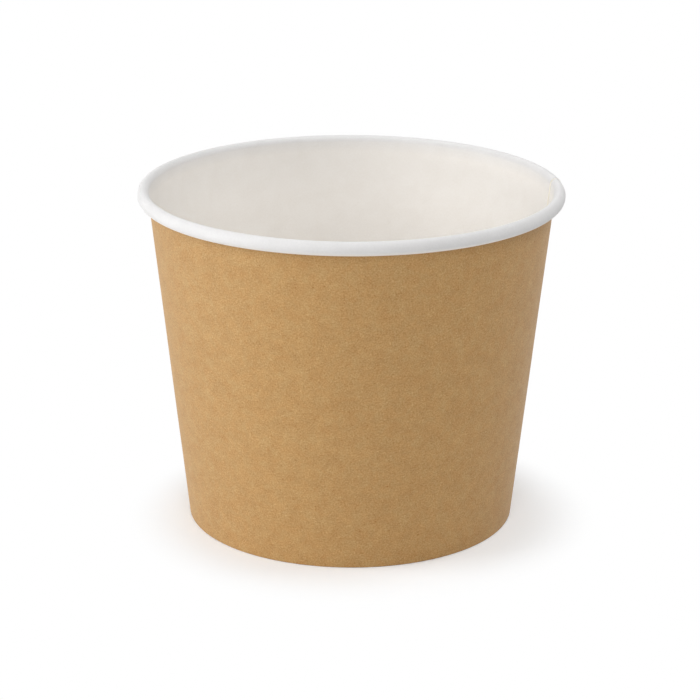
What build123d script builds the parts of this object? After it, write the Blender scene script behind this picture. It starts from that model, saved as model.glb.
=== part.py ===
from build123d import *

import os
from math import acos, atan, atan2, ceil, cos, degrees, hypot, radians, sin, sqrt

# Sizes over everything, in millimetres
rim_diameter = 183.0
height = 147.5
foot_diameter = 142.4

# The rolled rim, measured over its own hollow section, and the air at the end of its curl
rim_width = 5.0
rim_depth = 5.9
rim_end_gap = 0.3

# Thickness of the paperboard of the wall and of the base
board = 0.5
base_board = 0.5

# The side seam: the flap inside ends at this angle, turned from +X towards the back
seam_angle = 7.5
lap_width = 9.0
climb_width = 16.0
seal_squeeze = 0.08

# The hem folded in at the foot holds the skirt of the base, with glue on both its sides
glue_line = 0.1
hem_clearance = 0.8

# The base: its floor over the ground, the bend into its skirt, the skirt's end over the fold
floor_height = 10.5
base_bend = 0.8
skirt_clearance = 0.3

# Round stretches of a section are run in flats that stray no further than this from the curve
round_error = 0.09

# Sections through the part of the lap where the outer flap lifts off the former
climb_sections = 5

rim_radius = rim_diameter / 2 - rim_width / 2
rim_height = height - rim_depth / 2
skirt_slot = base_board + 2 * glue_line
lap_lift = board - seal_squeeze
lap_angle = degrees(lap_width / rim_radius)
climb_angle = degrees(climb_width / rim_radius)


# Width gained by the wall for each millimetre of height: its brown face runs from the foot
# to touch the inside of the rim's curl
def find_wall_slope():
    across = rim_width / 2 - board
    up = rim_depth / 2 - board
    foot_across = (foot_diameter / 2 - rim_radius) / across
    foot_down = -rim_height / up
    touch = atan2(foot_down, foot_across) - acos(1 / hypot(foot_across, foot_down))
    rise = rim_height + up * sin(touch)
    return (rim_radius + across * cos(touch) - foot_diameter / 2) / rise


wall_slope = find_wall_slope()
wall_tilt = degrees(atan(wall_slope))


# Radius of a cone parallel to the wall, at a level and a depth outwards from the white face
def wall_radius(level, depth):
    outwards = (depth - board) * sqrt(1 + wall_slope**2)
    return foot_diameter / 2 + wall_slope * level + outwards


# Angles from one to the next of those given, in even steps that suit flats on this radius
def turns(radius, *stops):
    largest = degrees(2 * acos(1 - round_error / max(radius, round_error)))
    angles = [stops[0]]
    for start, end in zip(stops, stops[1:]):
        flats = ceil(abs(end - start) / largest)
        angles += [start + (end - start) * (flat + 1) / flats for flat in range(flats)]
    return [radians(angle) for angle in angles]


# Points at those angles on an oval about a centre
def oval(centre, across, up, angles):
    return [(centre[0] + across * cos(angle), centre[1] + up * sin(angle)) for angle in angles]


# Points on a round bend about a centre
def arc(centre, radius, start, end):
    return oval(centre, radius, radius, turns(radius, start, end))


# A closed face on the plane through the axis, from its outline in radius and level
def section(outline):
    return Plane.XZ * make_face(Polyline(outline, close=True))


# The curl of the rim at a depth under the white face, from the wall over to its cut edge
def curl(depth):
    start = 180 - degrees(atan(rim_depth / rim_width * wall_slope))
    end = -degrees(acos((2 * board + rim_end_gap) / (rim_width / 2) - 1))
    angles = turns(rim_depth / 2, start, 90, 0, end)
    return oval((rim_radius, rim_height), rim_width / 2 - depth, rim_depth / 2 - depth, angles)


# The rolled sheet on a plane through the axis, lifted so far off the former: the white face
# from the hem's cut edge round the fold and the curl, and back along the brown face
def sheet_section(lift):
    hem_top = floor_height - base_board - base_bend - hem_clearance
    hem_depth = -skirt_slot - lift
    inner_fold = (wall_radius(board, hem_depth), board)
    outer_fold = (wall_radius(board, lift), board)
    white = [(wall_radius(hem_top, hem_depth), hem_top), inner_fold, outer_fold] + curl(lift)
    brown = [(wall_radius(hem_top, hem_depth - board), hem_top)]
    brown += arc(inner_fold, board, -180 - wall_tilt, -90)
    brown += arc(outer_fold, board, -90, -wall_tilt)
    brown += curl(lift + board)
    return section(white + brown[::-1])


# The sheet swept round the axis from one angle on
def rolled(lift, start, sweep):
    return Rotation(0, 0, start) * revolve(sheet_section(lift), Axis.Z, sweep)


# Share of the whole lift reached at each step of the climb, level at both ends
def eased(share):
    return share * share * (3 - 2 * share)


# The end of the sheet as it climbs from the former onto the flap that lies inside
def climb():
    sections = []
    for step in range(climb_sections):
        share = step / (climb_sections - 1)
        angle = seam_angle - climb_angle * (1 - share)
        sections.append(Rotation(0, 0, angle) * sheet_section(lap_lift * eased(share)))
    return loft(sections)


# The wall: one board rolled up, lapped and sealed at the side
def make_side_wall():
    single = rolled(0, seam_angle, 360 - climb_angle)
    outer_flap = rolled(lap_lift, seam_angle, lap_angle)
    return single + climb() + outer_flap


# The base: a disc of board pressed to a shallow tray and set in upside down, its skirt
# a glue line inside the wall
def make_base_disc():
    under_depth = -glue_line - base_board
    bend_level = floor_height - base_board - base_bend
    bend_centre = (wall_radius(bend_level, under_depth - base_bend), bend_level)
    skirt_end = board + skirt_clearance
    top = [(0, floor_height)]
    top += arc(bend_centre, base_bend + base_board, 90, -wall_tilt)
    top += [(wall_radius(skirt_end, -glue_line), skirt_end)]
    under = [(0, floor_height - base_board)]
    under += arc(bend_centre, base_bend, 90, -wall_tilt)
    under += [(wall_radius(skirt_end, under_depth), skirt_end)]
    return revolve(section(top + under[::-1]), Axis.Z)


os.makedirs("parts", exist_ok=True)
export_step(make_side_wall(), "parts/side_wall.step")
export_step(make_base_disc(), "parts/base_disc.step")
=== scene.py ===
import bpy
import numpy as np
from mathutils import Matrix, Vector


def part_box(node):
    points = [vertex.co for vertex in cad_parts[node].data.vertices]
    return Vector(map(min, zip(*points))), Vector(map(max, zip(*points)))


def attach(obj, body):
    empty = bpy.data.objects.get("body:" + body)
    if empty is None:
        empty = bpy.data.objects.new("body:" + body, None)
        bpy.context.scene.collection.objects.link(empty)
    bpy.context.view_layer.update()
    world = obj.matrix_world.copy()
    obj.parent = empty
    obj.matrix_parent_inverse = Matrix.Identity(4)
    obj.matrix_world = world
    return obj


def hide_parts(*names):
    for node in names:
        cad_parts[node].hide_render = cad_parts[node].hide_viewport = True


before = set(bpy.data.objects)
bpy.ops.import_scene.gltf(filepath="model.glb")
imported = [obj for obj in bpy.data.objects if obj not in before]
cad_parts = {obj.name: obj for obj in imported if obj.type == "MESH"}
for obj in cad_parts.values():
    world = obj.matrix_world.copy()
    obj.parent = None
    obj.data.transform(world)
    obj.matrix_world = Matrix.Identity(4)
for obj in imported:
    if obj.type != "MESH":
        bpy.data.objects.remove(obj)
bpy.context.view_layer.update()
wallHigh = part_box("side_wall")[1]
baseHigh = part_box("base_disc")[1]
print("frame loaded")


# small helpers for node trees, in which a node's spot is its column and row in the editor
nodeSpacing = 200


def addNode(tree, kind, spot, settings=None, values=None):
    node = tree.nodes.new(kind)
    node.location = (spot[0] * nodeSpacing, spot[1] * nodeSpacing)
    for name, value in (settings or {}).items():
        setattr(node, name, value)
    for name, value in (values or {}).items():
        node.inputs[name].default_value = value
    return node


def feed(tree, node, values):  # numbers, colours or other nodes' results, each to its socket
    for place, value in values:
        if isinstance(value, bpy.types.NodeSocket):
            tree.links.new(value, node.inputs[place])
        else:
            node.inputs[place].default_value = value


def maths(tree, operation, spot, *values):
    node = addNode(tree, "ShaderNodeMath", spot, {"operation": operation})
    feed(tree, node, enumerate(values))
    return node.outputs[0]


def vectorMaths(tree, operation, spot, *values):
    node = addNode(tree, "ShaderNodeVectorMath", spot, {"operation": operation})
    feed(tree, node, enumerate(values))
    return node.outputs["Value" if operation == "LENGTH" else "Vector"]


def mapped(tree, value, limits, spot, ends=(0.0, 1.0)):  # smoothly from one end to the other
    node = addNode(
        tree,
        "ShaderNodeMapRange",
        spot,
        {"interpolation_type": "SMOOTHSTEP"},
        {"From Min": limits[0], "From Max": limits[1], "To Min": ends[0], "To Max": ends[1]},
    )
    tree.links.new(value, node.inputs["Value"])
    return node.outputs[0]


def weighed(tree, start, parts, spot):  # a starting value plus each value times its weight
    total = start
    for step, (value, weight) in enumerate(parts):
        total = maths(tree, "MULTIPLY_ADD", (spot[0] + step, spot[1]), value, weight, total)
    return total


def blended(tree, share, low, high, spot):  # from a low colour at 0 to a high one at 1
    mix = addNode(tree, "ShaderNodeMix", spot, {"data_type": "RGBA"})
    feed(tree, mix, ((0, share), (6, low), (7, high)))  # 6 and 7 are the node's colour sockets
    return mix.outputs[2]


def mixedShader(tree, share, first, second, spot):  # the first shader at 0, the second one at 1
    mix = addNode(tree, "ShaderNodeMixShader", spot)
    feed(tree, mix, enumerate((share, first, second)))
    return mix.outputs[0]


def newGroup(name, inputs, outputs):
    tree = bpy.data.node_groups.new(name, "ShaderNodeTree")
    for label, kind, value in inputs:
        socket = tree.interface.new_socket(label, in_out="INPUT", socket_type=kind)
        if value is not None:
            socket.default_value = value
    for label, kind in outputs:
        tree.interface.new_socket(label, in_out="OUTPUT", socket_type=kind)
    return tree, tree.nodes.new("NodeGroupInput"), tree.nodes.new("NodeGroupOutput")


def newMaterial(name):
    material = bpy.data.materials.new(name)
    material.use_nodes = True
    tree = material.node_tree
    shader = next(node for node in tree.nodes if node.type == "BSDF_PRINCIPLED")
    return material, tree, shader


def colour(red, green, blue):  # screen values 0 to 255 turned into plain light values
    screen = np.array([red, green, blue]) / 255
    return (*np.where(screen > 0.04045, ((screen + 0.055) / 1.055) ** 2.4, screen / 12.92), 1)


# the pulp of paperboard: curled fibres, clouds, flecks, as values that run over the sheet
pulpLook = {
    "strands": (0.75, 1.5, 1.6),  # scale, detail and curl of each noise
    "gaps": (0.45, 0.0, 0.5),
    "clouds": (0.8, 3.0, 0.4),
    "tint": (0.35, 3.0, 0.6),
    "grain": (0.8, 1.0, 0.3),
    "strandWidth": 0.05,  # how far to both sides of the noise's middle a strand reaches
    "gapRange": (0.42, 0.62),  # values between which a noise goes from 0 to 1
    "cloudRange": (0.25, 0.75),
    "tintRange": (0.3, 0.7),
    "fleckRange": (0.05, 0.22),  # distances between which a fleck fades out, in fleck sizes
    "lightHeight": 0.6,  # light fibres stand up and dark ones lie in
    "darkHeight": -0.4,
    "lightShift": (0.0, 0.0, 3.7),  # each pattern is read in a place of its own
    "darkShift": (5.1, 2.3, 11.9),
    "tintShift": (9.7, 4.1, 6.3),
    "lightFleckShift": (0.0, 0.0, 0.0),
    "darkFleckShift": (17.3, 9.1, 0.0),
}


def makePulpGroup():
    tree, given, made = newGroup(
        "paperPulp",
        [
            ("Vector", "NodeSocketVector", None),
            ("Fibre Size", "NodeSocketFloat", 0.001),
            ("Grain Size", "NodeSocketFloat", 0.0005),
            ("Cloud Size", "NodeSocketFloat", 0.006),
            ("Fleck Size", "NodeSocketFloat", 0.002),
            ("Fleck Share", "NodeSocketFloat", 0.1),
        ],
        [
            ("Light Fibres", "NodeSocketFloat"),
            ("Dark Fibres", "NodeSocketFloat"),
            ("Grain", "NodeSocketFloat"),
            ("Clouds", "NodeSocketFloat"),
            ("Tint", "NodeSocketFloat"),
            ("Light Flecks", "NodeSocketFloat"),
            ("Dark Flecks", "NodeSocketFloat"),
            ("Height", "NodeSocketFloat"),
        ],
    )

    def divided(size, row):  # coordinates in multiples of a size
        return vectorMaths(tree, "DIVIDE", (1, row), given.outputs["Vector"], given.outputs[size])

    def moved(vector, shift, row):
        return vectorMaths(tree, "ADD", (2, row), vector, pulpLook[shift])

    def noise(vector, look, spot):
        scale, detail, distortion = pulpLook[look]
        node = addNode(
            tree,
            "ShaderNodeTexNoise",
            spot,
            {"noise_dimensions": "3D"},
            {"Scale": scale, "Detail": detail, "Distortion": distortion},
        )
        tree.links.new(vector, node.inputs["Vector"])
        return node.outputs[0]

    def strands(shift, row):  # thin lines where a curled noise crosses its middle, broken up
        vector = moved(fine, shift, row)
        beyond = maths(tree, "SUBTRACT", (4, row), noise(vector, "strands", (3, row)), 0.5)
        away = maths(tree, "ABSOLUTE", (5, row), beyond)
        line = mapped(tree, away, (0.0, pulpLook["strandWidth"]), (6, row), (1.0, 0.0))
        broken = mapped(tree, noise(vector, "gaps", (3, row - 1)), pulpLook["gapRange"], (4, row - 1))
        return maths(tree, "MULTIPLY", (7, row), line, broken)

    def flecks(shift, row):  # small spots in a few cells of a cell pattern
        cells = addNode(
            tree,
            "ShaderNodeTexVoronoi",
            (3, row),
            {"voronoi_dimensions": "2D", "feature": "F1"},
            {"Scale": 1.0, "Randomness": 1.0},
        )
        tree.links.new(moved(divided("Fleck Size", row), shift, row), cells.inputs["Vector"])
        spot = mapped(tree, cells.outputs["Distance"], pulpLook["fleckRange"], (4, row), (1.0, 0.0))
        split = addNode(tree, "ShaderNodeSeparateColor", (4, row - 0.5))
        tree.links.new(cells.outputs["Color"], split.inputs[0])
        chosen = maths(tree, "LESS_THAN", (5, row), split.outputs[0], given.outputs["Fleck Share"])
        strong = maths(tree, "MULTIPLY", (6, row), spot, chosen)
        return maths(tree, "MULTIPLY", (7, row), strong, split.outputs[1])

    fine = divided("Fibre Size", 0)
    lightFibres = strands("lightShift", 0)
    darkFibres = strands("darkShift", -2)
    cloudy = noise(divided("Cloud Size", -4), "clouds", (3, -4))
    clouds = mapped(tree, cloudy, pulpLook["cloudRange"], (4, -4))
    tinted = noise(moved(fine, "tintShift", -5), "tint", (3, -5))
    tint = mapped(tree, tinted, pulpLook["tintRange"], (4, -5))
    lightFlecks = flecks("lightFleckShift", -6)
    darkFlecks = flecks("darkFleckShift", -8)
    grain = noise(divided("Grain Size", -10), "grain", (3, -10))
    up = maths(tree, "MULTIPLY", (8, -1), lightFibres, pulpLook["lightHeight"])
    down = maths(tree, "MULTIPLY", (8, -2), darkFibres, pulpLook["darkHeight"])
    height = maths(tree, "ADD", (10, -1), maths(tree, "ADD", (9, -1), up, down), grain)
    results = {
        "Light Fibres": lightFibres,
        "Dark Fibres": darkFibres,
        "Grain": grain,
        "Clouds": clouds,
        "Tint": tint,
        "Light Flecks": lightFlecks,
        "Dark Flecks": darkFlecks,
        "Height": height,
    }
    for name, value in results.items():
        tree.links.new(value, made.inputs[name])
    return tree


pulpGroup = makePulpGroup()


def placePulp(tree, sizes):  # the shared group with its own sizes, read on the flat sheet's map
    sheet = addNode(tree, "ShaderNodeUVMap", (-8, 0), {"uv_map": "flatSheet"})
    pulp = addNode(tree, "ShaderNodeGroup", (-7, 0), {"node_tree": pulpGroup}, sizes)
    tree.links.new(sheet.outputs[0], pulp.inputs["Vector"])
    return pulp


def addBump(tree, shader, height, look):
    strength, distance = look["bump"]
    bump = addNode(tree, "ShaderNodeBump", (-1, -3), None, {"Strength": strength, "Distance": distance})
    tree.links.new(height, bump.inputs["Height"])
    tree.links.new(bump.outputs[0], shader.inputs["Normal"])


# kraft face: brown unbleached pulp with its fibres showing
kraft = {
    "sizes": {
        "Fibre Size": 0.0014,
        "Grain Size": 0.00055,
        "Cloud Size": 0.006,
        "Fleck Size": 0.0024,
        "Fleck Share": 0.1,
    },
    "low": colour(146, 94, 17),
    "high": colour(202, 168, 112),
    "ruddyLow": colour(148, 93, 12),  # the same in the ruddier patches
    "ruddyHigh": colour(205, 166, 107),
    "middle": 0.555,  # share of the high colour where grain and clouds are half way
    "lightFibres": 0.16,  # what each adds to that share
    "darkFibres": -0.16,
    "grain": 0.92,
    "clouds": 0.12,
    "lightFlecks": 0.2,
    "darkFlecks": -0.3,
    "roughness": 0.66,
    "roughLight": -0.08,  # what the fibres add to the roughness
    "roughDark": 0.05,
    "sheen": 0.06,
    "sheenRoughness": 0.5,
    "gloss": 0.62,
    "ridges": 190,  # pressed into the hem at the foot, all round
    "ridgeHeight": 4.0,  # times the height of the grain
    "bump": (0.6, 0.00003),  # strength, and height in metres
}


def makeKraft():
    material, tree, shader = newMaterial("kraftFace")
    pulp = placePulp(tree, kraft["sizes"])
    tone = weighed(
        tree,
        kraft["middle"] - kraft["grain"] / 2 - kraft["clouds"] / 2,
        [
            (pulp.outputs["Grain"], kraft["grain"]),
            (pulp.outputs["Clouds"], kraft["clouds"]),
            (pulp.outputs["Light Fibres"], kraft["lightFibres"]),
            (pulp.outputs["Dark Fibres"], kraft["darkFibres"]),
            (pulp.outputs["Light Flecks"], kraft["lightFlecks"]),
            (pulp.outputs["Dark Flecks"], kraft["darkFlecks"]),
        ],
        (-6, 1),
    )
    plain = blended(tree, tone, kraft["low"], kraft["high"], (-1, 2))
    ruddy = blended(tree, tone, kraft["ruddyLow"], kraft["ruddyHigh"], (-1, 1))
    both = blended(tree, pulp.outputs["Tint"], plain, ruddy, (0, 1))
    tree.links.new(both, shader.inputs["Base Color"])
    rough = weighed(
        tree,
        kraft["roughness"],
        [
            (pulp.outputs["Light Fibres"], kraft["roughLight"]),
            (pulp.outputs["Dark Fibres"], kraft["roughDark"]),
        ],
        (-3, -1),
    )
    tree.links.new(rough, shader.inputs["Roughness"])
    # pressed ridges on the hem: a sine round the axis, only where the hem mask is on
    around = addNode(tree, "ShaderNodeAttribute", (-6, -4), {"attribute_name": "around"})
    hem = addNode(tree, "ShaderNodeAttribute", (-6, -5), {"attribute_name": "hem"})
    turns = maths(tree, "MULTIPLY", (-5, -4), around.outputs["Fac"], kraft["ridges"])
    wave = maths(tree, "SINE", (-4, -4), turns)
    ridge = maths(tree, "MULTIPLY", (-3, -4), wave, hem.outputs["Fac"])
    height = maths(tree, "MULTIPLY_ADD", (-2, -4), ridge, kraft["ridgeHeight"], pulp.outputs["Height"])
    addBump(tree, shader, height, kraft)
    shader.inputs["Specular IOR Level"].default_value = kraft["gloss"]
    shader.inputs["Sheen Weight"].default_value = kraft["sheen"]
    shader.inputs["Sheen Roughness"].default_value = kraft["sheenRoughness"]
    return material


# white face: bleached pulp under a thin film, cooler and greyer where it is rolled into the rim, except on
# the curl's underside, which has a painted highlight: the brighter white of the inside
white = {
    "sizes": {
        "Fibre Size": 0.0018,
        "Grain Size": 0.0007,
        "Cloud Size": 0.007,
        "Fleck Size": 0.003,
        "Fleck Share": 0.06,
    },
    "low": colour(230, 224, 216),
    "high": colour(252, 250, 247),
    "rimLow": colour(206, 205, 204),
    "rimHigh": colour(237, 236, 236),
    "middle": 0.55,
    "fibres": -0.05,
    "grain": 0.25,
    "clouds": 0.12,
    "roughness": 0.55,
    "roughClouds": 0.06,
    "gloss": 0.15,
    "bump": (0.3, 0.00002),
}


def makeWhite():
    material, tree, shader = newMaterial("whiteFace")
    pulp = placePulp(tree, white["sizes"])
    tone = weighed(
        tree,
        white["middle"] - white["grain"] / 2 - white["clouds"] / 2,
        [
            (pulp.outputs["Grain"], white["grain"]),
            (pulp.outputs["Clouds"], white["clouds"]),
            (pulp.outputs["Dark Fibres"], white["fibres"]),
        ],
        (-6, 1),
    )
    rimGreyAndLipHighlight = addNode(tree, "ShaderNodeAttribute", (-4, 3), {"attribute_name": "rimGreyAndLipHighlight"})
    inside = blended(tree, tone, white["low"], white["high"], (-2, 1))
    rim = blended(tree, tone, white["rimLow"], white["rimHigh"], (-2, 2))
    # the rim's grey, with a painted highlight on the curl's underside, where the mask falls back to the
    # inside's white
    both = blended(tree, rimGreyAndLipHighlight.outputs["Fac"], inside, rim, (-1, 1))
    tree.links.new(both, shader.inputs["Base Color"])
    rough = weighed(tree, white["roughness"], [(pulp.outputs["Clouds"], white["roughClouds"])], (-2, -1))
    tree.links.new(rough, shader.inputs["Roughness"])
    addBump(tree, shader, pulp.outputs["Height"], white)
    shader.inputs["Specular IOR Level"].default_value = white["gloss"]
    return material


# cut edge: the bare core of the board, loose and matt
cutEdge = {
    "sizes": {
        "Fibre Size": 0.0006,
        "Grain Size": 0.0003,
        "Cloud Size": 0.003,
        "Fleck Size": 0.001,
        "Fleck Share": 0.2,
    },
    "low": colour(242, 234, 217),
    "high": colour(254, 250, 241),
    "least": 0.35,  # share of the high colour with nothing added
    "grain": 0.5,
    "fibres": -0.3,
    "clouds": 0.1,
    "roughness": 0.8,
    "bump": (0.7, 0.00004),
}


def makeCutEdge():
    material, tree, shader = newMaterial("cutEdge")
    pulp = placePulp(tree, cutEdge["sizes"])
    tone = weighed(
        tree,
        cutEdge["least"],
        [
            (pulp.outputs["Grain"], cutEdge["grain"]),
            (pulp.outputs["Dark Fibres"], cutEdge["fibres"]),
            (pulp.outputs["Clouds"], cutEdge["clouds"]),
        ],
        (-5, 1),
    )
    core = blended(tree, tone, cutEdge["low"], cutEdge["high"], (-1, 1))
    tree.links.new(core, shader.inputs["Base Color"])
    shader.inputs["Roughness"].default_value = cutEdge["roughness"]
    addBump(tree, shader, pulp.outputs["Height"], cutEdge)
    return material


kraftFace, whiteFace, cutEdgeFace = makeKraft(), makeWhite(), makeCutEdge()
print("materials made")

# sizes of the rolled sheet, in metres and degrees
wall = {
    "footDiameter": 0.1424,
    "rimWidth": 0.0050,
    "rimDepth": 0.0059,
    "curlEnd": -148.0,  # how far the curl turns under, 0 being level and outwards
    "flapEnd": 22.0,  # how much earlier the flap that lies inside ends its curl
    "board": 0.0005,  # its thickness
    "slot": 0.0007,  # between wall and hem, for the skirt of the base
    "foldRound": 0.00015,  # radius inside the folds at the foot
    "hemTop": 0.0084,  # level of the hem's cut edge
    "seamAngle": 7.5,  # where the flap inside starts, turned from the right towards the back
    "lapWidth": 0.009,
    "climbWidth": 0.016,  # the sheet climbs onto its own start over this width
    "layerGap": 0.00003,  # between the two layers of the lap
    "pressed": 0.3,  # what is left of the lap's step once it is pressed round the curl
    "pressFrom": 150.0,  # the pressing starts here on the curl, and is whole so much further on
    "pressOver": 80.0,
    "aroundSteps": 480,
    "climbSteps": 24,
    "hemSteps": 7,
    "bendSteps": 7,
    "wallSteps": 34,
    "curlSteps": 36,
    "rimFade": 0.0015,  # one white turns to the other over this, to both sides of the curl's start
    "lipPaintedHighlight": 0.9,  # painted highlight: how far the underside of the curl goes back to the brighter white of the inside
    "lipFrom": 0.6,  # shares of the curl's length: where that starts and how long it takes
    "lipOver": 0.1,
    "ridgeStart": 0.0006,  # the hem's ridges begin so far from its cut edge, over as much again,
    "ridgeShort": 0.0012,  # start to fade so far before the fold, and take the next length for it
    "ridgeFade": 0.0008,
    "outOfRound": 0.00005,  # how far the rim is pushed in and out, in ovals
    "ovals": ((1.0, 2, 0.7), (0.5, 3, 2.1)),  # share of that, count round the axis, start
    "dents": 0.000018,  # how far the wall is pushed in and out, in waves
    "waves": ((1.0, 7, 9, 0.4), (0.8, 11, -13, 1.9)),  # share of that, counts round and up, start
    "crossed": (0.6, 17, 21, 3, 5),  # share, then counts round and up of two waves multiplied
}
rimRadius = wallHigh.y - wall["rimWidth"] / 2  # at the back, where no lap makes the rim thicker
rimLevel = wallHigh.z - wall["rimDepth"] / 2
rimAcross, rimUp = wall["rimWidth"] / 2, wall["rimDepth"] / 2


def findSlope():  # the brown face runs from the foot to touch the inside of the rim's curl
    across, up = rimAcross - wall["board"], rimUp - wall["board"]
    footAcross = (wall["footDiameter"] / 2 - rimRadius) / across
    footDown = -rimLevel / up
    touch = np.arctan2(footDown, footAcross) - np.arccos(1 / np.hypot(footAcross, footDown))
    return (rimRadius + across * np.cos(touch) - wall["footDiameter"] / 2) / (rimLevel + up * np.sin(touch))


slope = findSlope()
tilt = np.arctan(slope)


def eased(share):  # level at both ends, steepest half way
    share = np.clip(share, 0, 1)
    return share * share * (3 - 2 * share)


def coneRadius(level, depth):  # radius of a cone parallel to the wall, a depth outwards from the white face
    return wall["footDiameter"] / 2 + slope * level + (depth - wall["board"]) * np.sqrt(1 + slope**2)


def unevenness(turn, level):
    # small waves round the axis and up the wall, the same for both layers of the lap
    up = level / wallHigh.z
    ovals = sum(share * np.sin(count * turn + start) for share, count, start in wall["ovals"])
    waves = sum(
        share * np.sin(count * turn + rise * up + start) for share, count, rise, start in wall["waves"]
    )
    share, count, rise, otherCount, otherRise = wall["crossed"]
    crossed = share * np.sin(count * turn + rise * up) * np.sin(otherCount * turn + otherRise * up)
    fade = np.sqrt(np.sin(np.pi * np.clip(up, 0, 1)))  # no waves at the foot and at the top
    return wall["outOfRound"] * up**2 * ovals + wall["dents"] * (waves + crossed) * fade


def straight(start, end, shares):  # radius and level at shares of the way between two points
    return [first + (last - first) * shares for first, last in zip(start, end)]


def sheetLines(lift, under):
    # white and brown lines of the sheet's section, one row per step round the axis: down the hem's
    # face, two quarter bends and a flat at the fold, straight up the wall, and round the oval curl;
    # lift is how far the sheet stands off the former, under is 1 on the flap that lies inside
    board, bend = wall["board"], wall["foldRound"]
    rise = (board + wall["layerGap"]) * under  # the fold of the flap lies on the fold outside it
    curlEnd = np.radians(wall["curlEnd"] + wall["flapEnd"] * under)
    hemSlot, hemTop = -wall["slot"] - lift, wall["hemTop"]
    cornerLevel = board + bend + rise
    inner = coneRadius(cornerLevel, hemSlot + bend)
    outer = coneRadius(cornerLevel, lift - bend)
    firstBend = np.linspace(np.pi - tilt, 1.5 * np.pi, wall["bendSteps"])
    lastBend = np.linspace(1.5 * np.pi, 2 * np.pi - tilt, wall["bendSteps"])
    down = np.linspace(0, 1, wall["hemSteps"])[:-1]
    climb = np.linspace(0, 1, wall["wallSteps"])[1:-1]
    pressFrom, pressOver = np.radians(wall["pressFrom"]), np.radians(wall["pressOver"])
    lines = []
    for thick in (0.0, board):
        reach = bend + thick
        hemRadius = coneRadius(hemTop, hemSlot - thick)
        foldIn = (inner + reach * np.cos(firstBend), cornerLevel + reach * np.sin(firstBend))
        foldOut = (outer + reach * np.cos(lastBend), cornerLevel + reach * np.sin(lastBend))
        hem = straight((hemRadius, hemTop), (foldIn[0][:, :1], foldIn[1][:, :1]), down)
        start = np.pi - np.arctan(slope * (rimUp - lift - thick) / (rimAcross - lift - thick))
        turn = start + (curlEnd - start) * np.linspace(0, 1, wall["curlSteps"])
        press = (1 - wall["pressed"]) * eased((pressFrom - turn) / pressOver)
        inwards = lift * (1 - press) + thick * (1 - press * under)
        curl = (rimRadius + (rimAcross - inwards) * np.cos(turn), rimLevel + (rimUp - inwards) * np.sin(turn))
        side = straight((foldOut[0][:, -1:], foldOut[1][:, -1:]), (curl[0][:, :1], curl[1][:, :1]), climb)
        parts = (hem, foldIn, foldOut, side, curl)
        lines.append([np.concatenate([part[axis] for part in parts], 1) for axis in (0, 1)])
    counts = [part[0].shape[1] for part in parts]
    return lines, counts


def gridFaces(rows, columns, first, flip):  # quads of a grid of points, numbered from first
    start = first + np.arange(rows - 1)[:, None] * columns + np.arange(columns - 1)[None, :]
    quads = np.stack([start, start + columns, start + columns + 1, start + 1], -1).reshape(-1, 4)
    return quads[:, ::-1] if flip else quads


# what every piece of board shares: its materials with their slots, and its sharp edges
paperFaces = [kraftFace, whiteFace, cutEdgeFace]
kraftSlot, whiteSlot, edgeSlot = 0, 1, 2
sharpAngle = 38.0


def makePiece(name, points, faces, slots, sheetMap, values):
    mesh = bpy.data.meshes.new(name)
    mesh.from_pydata(points.tolist(), [], faces)
    mesh.polygons.foreach_set("material_index", slots.astype(np.int32))
    mesh.polygons.foreach_set("use_smooth", np.ones(len(faces), bool))
    corners = np.empty(len(mesh.loops), np.int32)
    mesh.loops.foreach_get("vertex_index", corners)
    sheet = mesh.uv_layers.new(name="flatSheet")
    sheet.data.foreach_set("uv", sheetMap[corners].astype(np.float32).ravel())
    for label, value in values.items():
        attribute = mesh.attributes.new(label, "FLOAT", "POINT")
        attribute.data.foreach_set("value", value.astype(np.float32).ravel())
    mesh.set_sharp_from_angle(angle=np.radians(sharpAngle))
    for material in paperFaces:
        mesh.materials.append(material)
    piece = bpy.data.objects.new(name, mesh)
    bpy.context.scene.collection.objects.link(piece)
    return piece


def sheetTurns():
    # once round from the seam and over the sheet's own start by the width of the lap: the angles,
    # how far the sheet stands off the former, and 1 on the flap that lies inside, then away to 0
    lap, climb = wall["lapWidth"] / rimRadius, wall["climbWidth"] / rimRadius
    turned = np.linspace(0, 2 * np.pi + lap, wall["aroundSteps"])
    finer = np.linspace(2 * np.pi - climb, 2 * np.pi, wall["climbSteps"])[1:-1]
    turned = np.sort(np.concatenate([turned, finer]))
    layer = wall["board"] + wall["layerGap"]
    lift = layer * eased((turned - 2 * np.pi + climb) / climb)[:, None]
    under = 1 - eased((turned - lap) / climb)[:, None]
    return turned, lift, under


def unrolled(turned, run, foldAt):  # the flat sheet, as the fan that the cone unrolls to
    reach = wall["footDiameter"] / 2 / np.sin(tilt) + run - run[foldAt]
    fan = (turned - turned[-1] / 2)[:, None] * np.sin(tilt)
    return np.stack([reach * np.sin(fan), reach * np.cos(fan)], -1).reshape(-1, 2)


def sheetValues(angle, run, counts):
    # how far the sheet is rolled into the rim, less a painted highlight on the curl's underside, how far it
    # is the hem, and its angle, on both faces
    curlAt = len(run) - counts[-1]
    rimGreyAndLipHighlight = eased((run - run[curlAt] + wall["rimFade"]) / (2 * wall["rimFade"]))
    curled = np.clip((np.arange(len(run)) - curlAt) / (counts[-1] - 1), 0, 1)
    # painted highlight: the underside of the curl is turned back towards the brighter white of the inside
    rimGreyAndLipHighlight = rimGreyAndLipHighlight * (1 - wall["lipPaintedHighlight"] * eased((curled - wall["lipFrom"]) / wall["lipOver"]))
    hem = 1 - eased((run - run[counts[0]] + wall["ridgeShort"]) / wall["ridgeFade"])
    hem = hem * eased((run - wall["ridgeStart"]) / wall["ridgeStart"])
    values = {"rimGreyAndLipHighlight": rimGreyAndLipHighlight + 0 * angle, "hem": hem + 0 * angle, "around": angle + 0 * run}
    return {name: np.concatenate([value.ravel()] * 2) for name, value in values.items()}


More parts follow.
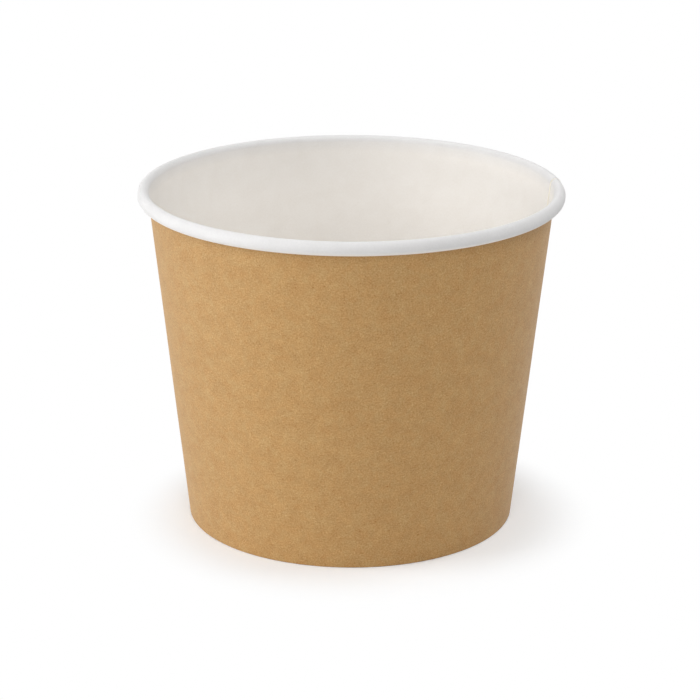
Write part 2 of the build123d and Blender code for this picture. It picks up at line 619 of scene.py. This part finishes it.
def sheetFaces(steps, columns):  # both faces, and strips that close the four edges between them
    size = steps * columns
    whiteFaces = gridFaces(steps, columns, 0, True)
    brownFaces = gridFaces(steps, columns, size, False)
    first = np.arange(size).reshape(steps, columns)
    second = first + size

    def strip(near, far):
        return np.stack([near[:-1], near[1:], far[1:], far[:-1]], -1)

    edges = np.concatenate([
        strip(second[:, 0], first[:, 0]),
        strip(first[:, -1], second[:, -1]),
        strip(first[0], second[0]),
        strip(second[-1], first[-1]),
    ])
    groups = (whiteFaces, brownFaces, edges)
    slots = np.repeat([whiteSlot, kraftSlot, edgeSlot], [len(group) for group in groups])
    return np.concatenate(groups).tolist(), slots


def makeSideWall():
    turned, lift, under = sheetTurns()
    steps = len(turned)
    angle = np.radians(wall["seamAngle"]) + turned[:, None]
    lines, counts = sheetLines(lift, under)
    points = []
    for radius, level in lines:
        radius = radius + unevenness(angle, level)
        grid = np.stack([radius * np.cos(angle), radius * np.sin(angle), level + 0 * radius], -1)
        points.append(grid.reshape(-1, 3))
    # distance run along the section, half way round, where the sheet is one layer on the former
    radius, level = (line[steps // 2] for line in lines[0])
    run = np.concatenate([[0], np.cumsum(np.hypot(np.diff(radius), np.diff(level)))])
    sheetMap = unrolled(turned, run, counts[0] + counts[1])
    faces, slots = sheetFaces(steps, len(run))
    values = sheetValues(angle, run, counts)
    return makePiece("rolledWall", np.concatenate(points), faces, slots, np.tile(sheetMap, (2, 1)), values)


sideWall = makeSideWall()
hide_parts("side_wall")
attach(sideWall, "root")
print("side wall made")

# the base: a pressed disc whose skirt goes down between wall and hem
base = {
    "board": 0.0005,  # its thickness
    "bend": 0.0009,  # radius inside the bend from the floor to the skirt
    "glue": 0.0001,  # between skirt and wall
    "skirtEnd": 0.0012,  # level of its cut edge
    "sag": 0.00012,  # how far the floor hangs in its middle
    "sagWaves": ((0.35, 2, 3), (0.2, 5, 6)),  # share of the sag, how many waves round and outwards
    "aroundSteps": 240,
    "flatSteps": 26,
    "bendSteps": 9,
}


def baseLines():
    # lines of the top and the underside from the middle out over the flat, round the bend and down
    # the skirt, and the radius at which the bend starts
    bendLevel = baseHigh.z - base["board"] - base["bend"]
    bendRadius = coneRadius(bendLevel, -base["glue"] - base["board"] - base["bend"])
    flat = bendRadius * np.linspace(0, 1, base["flatSteps"])[1:-1]
    turn = np.linspace(np.pi / 2, -tilt, base["bendSteps"])
    lines = []
    for thick in (base["board"], 0.0):
        reach = base["bend"] + thick
        level = np.full(len(flat), bendLevel + reach)
        endRadius = coneRadius(base["skirtEnd"], -base["glue"] - base["board"] + thick)
        radius = np.concatenate([flat, bendRadius + reach * np.cos(turn), [endRadius]])
        level = np.concatenate([level, bendLevel + reach * np.sin(turn), [base["skirtEnd"]]])
        lines.append((radius, level))
    return lines, bendRadius


def baseFaces(rows, columns):  # both skins in rings, the skirt's edge, and a fan in the middle of each skin
    size = rows * columns
    start = np.arange(size).reshape(rows, columns)
    ahead = np.roll(start, -1, 0)
    skin = np.stack([start[:, :-1], start[:, 1:], ahead[:, 1:], ahead[:, :-1]], -1).reshape(-1, 4)
    edge = np.stack([start[:, -1], start[:, -1] + size, ahead[:, -1] + size, ahead[:, -1]], -1)
    middle = np.full(rows, 2 * size)  # the two points in the middle come after all the others
    topFan = np.stack([middle, start[:, 0], ahead[:, 0]], -1)
    underFan = np.stack([middle + 1, ahead[:, 0] + size, start[:, 0] + size], -1)
    groups = (skin, (skin + size)[:, ::-1], edge, topFan, underFan)
    faces = [face for group in groups for face in group.tolist()]
    counts = [len(group) for group in groups]
    slots = np.repeat([whiteSlot, kraftSlot, edgeSlot, whiteSlot, kraftSlot], counts)
    return faces, slots


def makeBase():
    lines, bendRadius = baseLines()
    around = np.linspace(0, 2 * np.pi, base["aroundSteps"], endpoint=False)[:, None]
    points, flatMap = [], []
    for radius, level in lines:
        out = radius / bendRadius
        waves = sum(share * np.sin(count * around + rise * out) for share, count, rise in base["sagWaves"])
        z = level - base["sag"] * np.clip(1 - out**2, 0, 1) * (1 + waves)
        points.append(np.stack([radius * np.cos(around), radius * np.sin(around), z], -1).reshape(-1, 3))
        run = np.concatenate([[radius[0]], radius[0] + np.cumsum(np.hypot(np.diff(radius), np.diff(level)))])
        flatMap.append(np.stack([run * np.cos(around), run * np.sin(around)], -1).reshape(-1, 2))
    top = baseHigh.z
    middle = np.array([[0, 0, top - base["sag"]], [0, 0, top - base["board"] - base["sag"]]])
    allPoints = np.concatenate(points + [middle])
    sheetMap = np.concatenate(flatMap + [np.zeros((2, 2))])
    faces, slots = baseFaces(base["aroundSteps"], len(lines[0][0]))
    values = {name: np.zeros(len(allPoints)) for name in ("rimGreyAndLipHighlight", "hem", "around")}
    return makePiece("baseDisc", allPoints, faces, slots, sheetMap, values)


baseDisc = makeBase()
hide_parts("base_disc")
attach(baseDisc, "root")
print("base made")

# studio: pale floor, soft light from the left and above, plain white round about
studio = {
    "ambient": 0.0,  # light that the surroundings give
    "background": 1.0,  # and how bright they look
    "boxes": {  # place of each soft light, its width and height, its power
        "aboveBox": ((0.0, 0.0, 1.2), (2.4, 2.4), 14.3),
        "leftStrip": ((-1.79, -0.48, 0.17), (1.2, 0.3), 9.4),
        "leftBox": ((-1.79, 0.16, 0.5), (0.8, 0.5), 0.4),
        "leftHighBox": ((-1.58, -0.28, 0.9), (1.0, 1.0), 12.6),
        "frontBox": ((0.0, -1.6, 0.9), (1.0, 1.0), 11.3),
        "rightBox": ((1.58, -0.28, 0.9), (1.0, 1.0), 0.6),
        "rightHighBox": ((1.0, 0.3, 1.1), (1.0, 1.0), 6.3),
        "backBox": ((0.0, 1.6, 0.9), (1.0, 1.0), 1.5),
    },
    "aim": (0.0, 0.0, 0.07),  # what the soft lights face
    "floorRadius": 5.0,
    "floorSteps": 96,
    "floorColour": (0.8, 0.8, 0.8, 1),
    "floorSeen": (0.93, 0.965, 1.0, 1),
    "floorGlow": 0.078,  # plain white that the eye sees on top of the lit floor
    "shadowMiddle": (0.005, -0.008, 0.0),  # the shadow lies a little to the right and the front
    "whiteRange": (0.07, 0.104),  # distances from there between which the floor fades to plain white
    "hiddenGlow": 0.75,  # light that the patch hidden under the bucket sends up into the foot
    "hiddenRadius": 0.0696,
}


def showsBackground(tree, spot):  # 1 for what the eye sees directly, in a gloss or through something
    column, row = spot
    rays = addNode(tree, "ShaderNodeLightPath", spot).outputs
    either = maths(tree, "MAXIMUM", (column + 1, row), rays["Is Camera Ray"], rays["Is Glossy Ray"])
    return maths(tree, "MAXIMUM", (column + 2, row), either, rays["Is Transmission Ray"])


def makeFloorPaper():
    material, tree, shader = newMaterial("floorPaper")
    tree.nodes.remove(shader)
    output = next(node for node in tree.nodes if node.type == "OUTPUT_MATERIAL")
    matt = addNode(tree, "ShaderNodeBsdfDiffuse", (0, 0))
    plain = addNode(tree, "ShaderNodeEmission", (0, -1), None, {"Strength": 1.0})
    glow = addNode(tree, "ShaderNodeEmission", (0, -2))
    clear = addNode(tree, "ShaderNodeBsdfTransparent", (0, -3))
    seen = showsBackground(tree, (-7, 2))
    tone = blended(tree, seen, studio["floorColour"], studio["floorSeen"], (-2, 3))
    tree.links.new(tone, matt.inputs["Color"])
    tree.links.new(maths(tree, "MULTIPLY", (-2, -2), seen, studio["floorGlow"]), glow.inputs["Strength"])
    near = addNode(tree, "ShaderNodeAddShader", (1, -1))
    tree.links.new(matt.outputs[0], near.inputs[0])
    tree.links.new(glow.outputs[0], near.inputs[1])
    # the shadow's surroundings fade to the plain white of the ground
    place = addNode(tree, "ShaderNodeTexCoord", (-5, 0)).outputs["Object"]
    offset = vectorMaths(tree, "SUBTRACT", (-4.5, 0), place, studio["shadowMiddle"])
    far = mapped(tree, vectorMaths(tree, "LENGTH", (-4, 0), offset), studio["whiteRange"], (-3, 0))
    share = maths(tree, "MULTIPLY", (-1, 1), far, seen)
    lit = mixedShader(tree, share, near.outputs[0], plain.outputs[0], (2, 0))
    # the patch under the bucket lights the recess in its foot, as nothing else reaches it
    middle = vectorMaths(tree, "LENGTH", (-4, -4), place)
    patch = maths(tree, "LESS_THAN", (-3, -4), middle, studio["hiddenRadius"])
    upward = addNode(tree, "ShaderNodeEmission", (0, -4), None, {"Strength": studio["hiddenGlow"]})
    hidden = mixedShader(tree, patch, lit, upward.outputs[0], (3, 0))
    # seen from below, the floor lets the eye and the light through
    below = addNode(tree, "ShaderNodeNewGeometry", (0, 3)).outputs["Backfacing"]
    whole = mixedShader(tree, below, hidden, clear.outputs[0], (4, 0))
    tree.links.new(whole, output.inputs["Surface"])
    return material


def makeFloor():
    angle = np.linspace(0, 2 * np.pi, studio["floorSteps"], endpoint=False)
    ring = np.stack([np.cos(angle), np.sin(angle), 0 * angle], -1) * studio["floorRadius"]
    mesh = bpy.data.meshes.new("studioFloor")
    mesh.from_pydata(ring.tolist(), [], [list(range(len(ring)))])
    mesh.materials.append(makeFloorPaper())
    floor = bpy.data.objects.new("studioFloor", mesh)
    bpy.context.scene.collection.objects.link(floor)


def makeWorld():
    world = bpy.data.worlds.new("studio")
    bpy.context.scene.world = world
    world.use_nodes = True
    tree = world.node_tree
    background = next(node for node in tree.nodes if node.type == "BACKGROUND")
    seen = showsBackground(tree, (-5, 0))
    level = mapped(tree, seen, (0.0, 1.0), (-1, 0), (studio["ambient"], studio["background"]))
    background.inputs["Color"].default_value = (1, 1, 1, 1)
    tree.links.new(level, background.inputs["Strength"])


def addSoftbox(name, place, size, power):
    lamp = bpy.data.lights.new(name, "AREA")
    lamp.shape, lamp.energy = "RECTANGLE", power
    lamp.size, lamp.size_y = size
    box = bpy.data.objects.new(name, lamp)
    away = Vector(place) - Vector(studio["aim"])
    box.matrix_world = Matrix.Translation(place) @ away.to_track_quat("Z", "Y").to_matrix().to_4x4()
    bpy.context.scene.collection.objects.link(box)


makeFloor()
makeWorld()
for name, box in studio["boxes"].items():
    addSoftbox(name, *box)
print("studio made")

# camera: a little above the rim, looking down into the bucket
view = {
    "lens": 132.59,  # in millimetres, as the sensor; the rest is in metres and degrees
    "distance": 1.12753,
    "downward": 18.4466,
    "aimHeight": 0.07275,
    "aside": -0.000348,
    "roll": 0.2062,
    "sensor": 36.0,
    "clip": (0.05, 50.0),
}


def makeCamera():
    lens = bpy.data.cameras.new("camera")
    lens.lens, lens.sensor_width = view["lens"], view["sensor"]
    lens.clip_start, lens.clip_end = view["clip"]
    eye = bpy.data.objects.new("camera", lens)
    down = np.radians(view["downward"])
    away = view["distance"]
    place = (view["aside"], -away * np.cos(down), view["aimHeight"] + away * np.sin(down))
    pitch = Matrix.Rotation(np.pi / 2 - down, 4, "X")
    roll = Matrix.Rotation(np.radians(view["roll"]), 4, "Z")
    eye.matrix_world = Matrix.Translation(place) @ pitch @ roll
    bpy.context.scene.collection.objects.link(eye)
    bpy.context.scene.camera = eye


makeCamera()
bpy.context.scene.view_settings.view_transform = "Standard"
